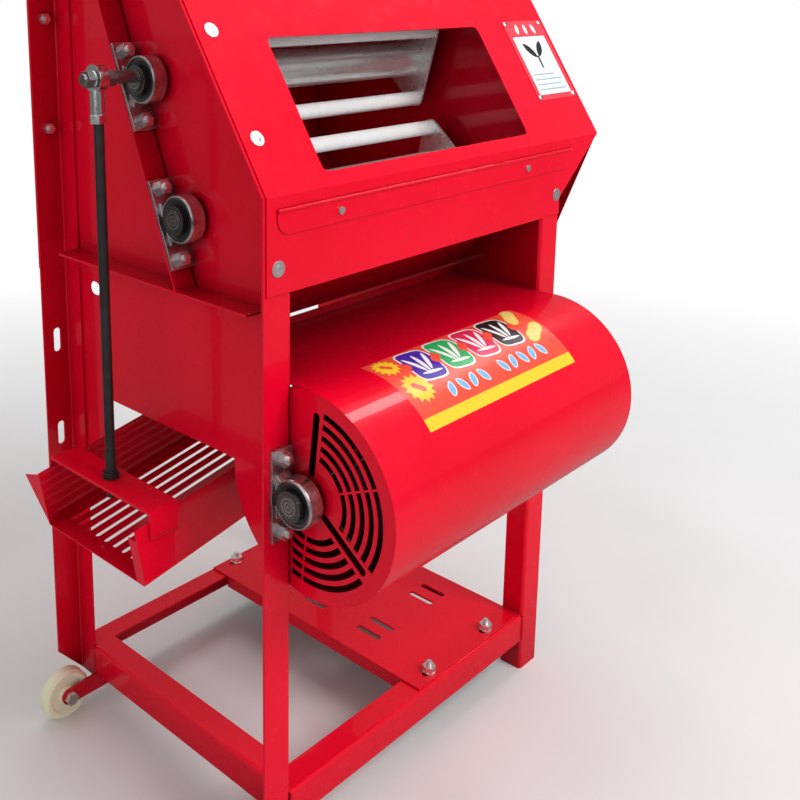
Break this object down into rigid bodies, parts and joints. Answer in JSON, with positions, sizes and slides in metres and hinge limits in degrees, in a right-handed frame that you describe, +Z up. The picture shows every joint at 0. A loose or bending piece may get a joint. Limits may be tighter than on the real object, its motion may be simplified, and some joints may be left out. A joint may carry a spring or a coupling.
{
  "type": "peanut picker",
  "caption": "Red floor-standing peanut picker with geared picking rollers behind a window, a blower drum, and a crank-shaken sieve tray at the side.",
  "frame": {"origin": "middle of the bounding box, on the floor", "axes": "+Z up, -Y towards the window and blower drum, +X towards the drive side, away from the tray outlet"},
  "size_m": [0.756, 0.5891, 1.0785],
  "materials": {
    "red_paint": "gloss",
    "galvanised": "satin",
    "cast_iron": "rough",
    "bearing_steel": "satin",
    "zinc": "satin",
    "bright_steel": "satin",
    "dark_steel": "satin",
    "black_steel": "satin",
    "chrome": "polished",
    "white_bar": "satin",
    "cream_nylon": "satin"
  },
  "bodies": {
    "frame": {"leg_front_left": "red_paint", "leg_front_right": "red_paint", "leg_rear_left": "red_paint", "leg_rear_right": "red_paint", "rail_left": "red_paint", "rail_right": "red_paint", "rail_front": "red_paint", "rail_rear": "red_paint", "stile_left": "red_paint", "stile_right": "red_paint", "bearing_rail_left": "red_paint", "bearing_rail_right": "red_paint", "side_member_left": "red_paint", "side_member_right": "red_paint", "side_panel_left": "red_paint", "side_panel_right": "red_paint", "duct_side_left": "red_paint", "duct_side_right": "red_paint", "front_panel": "red_paint", "panel_strip": "red_paint", "rear_panel": "red_paint", "top_cover": "red_paint", "drive_guard": "red_paint", "front_apron": "galvanised", "guide_plates": "red_paint", "fan_casing": "red_paint", "fan_grille_left": "red_paint", "fan_grille_right": "red_paint", "bearing_housings": "cast_iron", "bearing_inserts": "bearing_steel", "bearing_bolts": "zinc", "tray_hanger": "red_paint", "motor_plate": "red_paint", "motor_plate_bolts": "zinc", "wheel_arms": "red_paint", "wheel_axles": "zinc", "hood_bolts": "zinc", "rear_panel_bolts": "zinc", "strip_screws": "zinc"},
    "upper_roller": {"upper_shaft": "bright_steel", "upper_core": "bright_steel", "upper_bars": "white_bar", "upper_gear": "cast_iron", "roller_pulley": "cast_iron", "crank": "dark_steel"},
    "lower_roller": {"lower_shaft": "bright_steel", "lower_core": "bright_steel", "lower_bars": "white_bar", "lower_gear": "cast_iron"},
    "fan_rotor": {"fan_shaft": "bright_steel", "fan_spiders": "dark_steel", "fan_blades": "dark_steel", "fan_pulley": "cast_iron"},
    "shaker": {"rod_end": "chrome", "connecting_rod": "black_steel", "rod_nuts": "black_steel", "tray": "red_paint", "tray_bridge": "red_paint"},
    "wheel_front": {"wheel_front": "cream_nylon"},
    "wheel_rear": {"wheel_rear": "cream_nylon"}
  },
  "joints": [
    {"name": "upper_roller_spin", "type": "hinge", "parent": "frame", "child": "upper_roller", "pos_m": [-0.00699, 0.07807, 0.92032], "axis": [1, 0, 0], "continuous": true},
    {"name": "lower_roller_spin", "type": "hinge", "parent": "frame", "child": "lower_roller", "pos_m": [-0.00699, 0.01405, 0.765], "axis": [1, 0, 0], "continuous": true},
    {"name": "crank_pin_turn", "type": "hinge", "parent": "upper_roller", "child": "shaker", "pos_m": [-0.33799, 0.07807, 0.92532], "axis": [1, 0, 0], "continuous": true},
    {"name": "fan_spin", "type": "hinge", "parent": "frame", "child": "fan_rotor", "pos_m": [-0.00699, -0.17255, 0.482], "axis": [1, 0, 0], "continuous": true},
    {"name": "wheel_front_spin", "type": "hinge", "parent": "frame", "child": "wheel_front", "pos_m": [-0.30199, -0.11995, 0.036], "axis": [0, 1, 0], "continuous": true},
    {"name": "wheel_rear_spin", "type": "hinge", "parent": "frame", "child": "wheel_rear", "pos_m": [-0.30199, 0.26505, 0.036], "axis": [0, 1, 0], "continuous": true}
  ],
  "couplings": [
    {"joint": "lower_roller_spin", "follows": "upper_roller_spin", "ratio": -1},
    {"joint": "crank_pin_turn", "follows": "upper_roller_spin", "ratio": -1}
  ]
}
